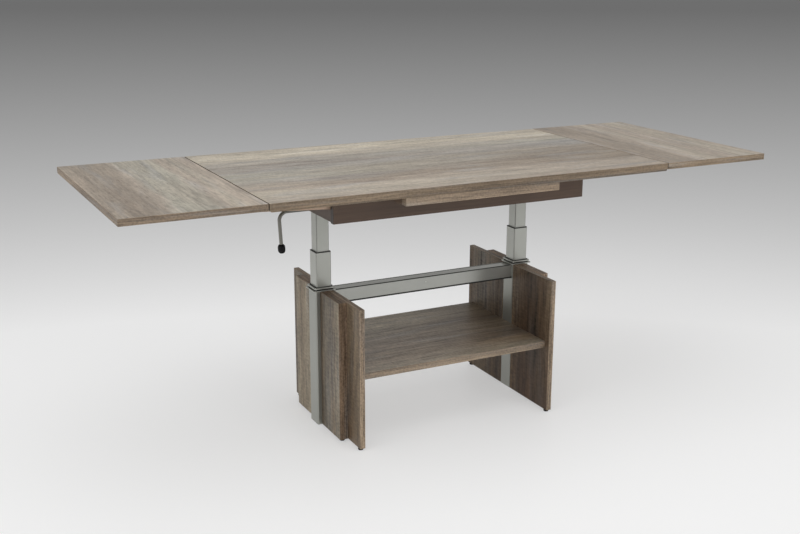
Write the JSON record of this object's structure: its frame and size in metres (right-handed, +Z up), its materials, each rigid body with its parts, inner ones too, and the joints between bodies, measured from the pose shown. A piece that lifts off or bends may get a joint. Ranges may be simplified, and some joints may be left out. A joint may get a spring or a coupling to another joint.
{
  "type": "convertible coffee and dining table",
  "caption": "Convertible coffee and dining table: a draw-leaf wood top on telescopic crank-lifted columns, with panelled ends, a crossbeam and a low shelf.",
  "frame": {"origin": "floor level at the middle of the table", "axes": "+X along the table's length with the crank at -X, +Y from front to back, +Z up"},
  "size_m": [1.925, 0.7, 0.75],
  "materials": {
    "driftwood_board": "matt printed wood decor, weathered grey brown",
    "dark_board": "smooth satin dark brown",
    "beech": "plain sanded",
    "silver_paint": "satin silver powder coat",
    "crank_steel": "satin grey",
    "drive_steel": "plain",
    "black_plastic": "moulded",
    "nut_brass": "turned"
  },
  "bodies": {
    "base": {"left_outer_tube": "silver_paint", "right_outer_tube": "silver_paint", "spindle_posts": "drive_steel", "spindle_nuts": "nut_brass", "collar_plates": "silver_paint", "collar_gaskets": "black_plastic", "collar_rings": "silver_paint", "left_front_inner_panel": "driftwood_board", "left_front_outer_panel": "driftwood_board", "left_back_inner_panel": "driftwood_board", "left_back_outer_panel": "driftwood_board", "right_front_inner_panel": "driftwood_board", "right_front_outer_panel": "driftwood_board", "right_back_inner_panel": "driftwood_board", "right_back_outer_panel": "driftwood_board", "shelf": "driftwood_board", "crossbeam": "silver_paint", "beam_cover": "silver_paint", "beam_end_plates": "silver_paint", "glides": "black_plastic"},
    "left_stage": {"left_mid_tube": "silver_paint", "left_mid_bushes": "black_plastic"},
    "right_stage": {"right_mid_tube": "silver_paint", "right_mid_bushes": "black_plastic"},
    "upper_frame": {"centre_board": "dark_board", "front_lipping": "driftwood_board", "back_lipping": "driftwood_board", "front_apron": "dark_board", "back_apron": "dark_board", "left_end_apron": "dark_board", "right_end_apron": "dark_board", "left_head_rail": "drive_steel", "right_head_rail": "drive_steel", "left_inner_tube": "silver_paint", "right_inner_tube": "silver_paint", "inner_tube_bushes": "black_plastic", "spindle_bearings": "drive_steel", "shaft_bushes": "black_plastic"},
    "loose_top": {"main_top": "driftwood_board", "top_pegs": "beech"},
    "drawn_leaf_left": {"left_leaf": "driftwood_board", "left_front_runner": "beech", "left_back_runner": "beech", "left_runner_stops": "beech"},
    "drawn_leaf_right": {"right_leaf": "driftwood_board", "right_front_runner": "beech", "right_back_runner": "beech", "right_runner_stops": "beech"},
    "drive": {"cross_shaft": "drive_steel", "left_shaft_gear": "drive_steel", "right_shaft_gear": "drive_steel"},
    "left_screw": {"left_spindle": "drive_steel", "left_spindle_gear": "drive_steel"},
    "right_screw": {"right_spindle": "drive_steel", "right_spindle_gear": "drive_steel"},
    "crank_arm": {"crank": "crank_steel"},
    "knob": {"crank_knob": "black_plastic"}
  },
  "joints": [
    {"name": "lift", "type": "slide", "parent": "base", "child": "upper_frame", "axis": [0, 0, 1], "range_m": [-0.2, 0]},
    {"name": "left_stage_slide", "type": "slide", "parent": "base", "child": "left_stage", "axis": [0, 0, 1], "range_m": [-0.1, 0]},
    {"name": "right_stage_slide", "type": "slide", "parent": "base", "child": "right_stage", "axis": [0, 0, 1], "range_m": [-0.1, 0]},
    {"name": "drive_turn", "type": "hinge", "parent": "upper_frame", "child": "drive", "pos_m": [0, 0, 0.64101], "axis": [1, 0, 0], "continuous": true},
    {"name": "left_screw_turn", "type": "hinge", "parent": "upper_frame", "child": "left_screw", "pos_m": [-0.325, 0, 0.5], "axis": [0, 0, 1], "continuous": true},
    {"name": "right_screw_turn", "type": "hinge", "parent": "upper_frame", "child": "right_screw", "pos_m": [0.325, 0, 0.5], "axis": [0, 0, 1], "continuous": true},
    {"name": "crank_swing", "type": "hinge", "parent": "upper_frame", "child": "crank_arm", "pos_m": [-0.39, 0, 0.64101], "axis": [1, 0, 0], "range_deg": [-120, 120]},
    {"name": "knob_spin", "type": "hinge", "parent": "crank_arm", "child": "knob", "pos_m": [-0.44024, 0, 0.54118], "axis": [0.0576, 0, -0.9983], "continuous": true},
    {"name": "top_lift", "type": "slide", "parent": "upper_frame", "child": "loose_top", "axis": [0, 0, 1], "range_m": [0, 0.03]},
    {"name": "left_leaf_draw", "type": "slide", "parent": "upper_frame", "child": "drawn_leaf_left", "axis": [-0.998, 0, 0.0633], "range_m": [0, 0.0075]},
    {"name": "right_leaf_draw", "type": "slide", "parent": "upper_frame", "child": "drawn_leaf_right", "axis": [0.998, 0, 0.0633], "range_m": [0, 0.0075]}
  ],
  "couplings": [
    {"joint": "left_stage_slide", "follows": "lift", "ratio": 0.5},
    {"joint": "right_stage_slide", "follows": "lift", "ratio": 0.5},
    {"joint": "drive_turn", "follows": "lift", "rad_per_m": 628.32},
    {"joint": "left_screw_turn", "follows": "lift", "rad_per_m": 628.32},
    {"joint": "right_screw_turn", "follows": "lift", "rad_per_m": 628.32}
  ]
}
